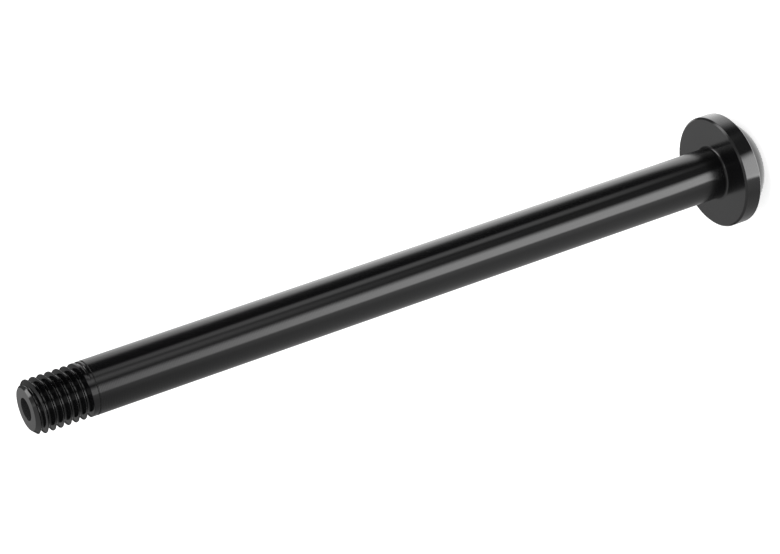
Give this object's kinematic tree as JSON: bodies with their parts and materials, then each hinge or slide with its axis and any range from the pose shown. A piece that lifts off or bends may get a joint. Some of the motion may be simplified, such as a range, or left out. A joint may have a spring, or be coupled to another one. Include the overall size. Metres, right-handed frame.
{
  "type": "hub axle",
  "caption": "Round hollow hub axle with a coarse threaded tip, a plain shaft, a thick flange and a domed head with a hex socket.",
  "frame": {"origin": "centre of the flat end of the domed head, on which the axle stands", "axes": "+Z along the shaft, from the head towards the threaded tip"},
  "size_m": [0.0264, 0.0264, 0.1825],
  "materials": {
    "black_anodised": "glossy black anodised, fine turned"
  },
  "bodies": {
    "root": {"axle": "black_anodised"}
  },
  "joints": []
}
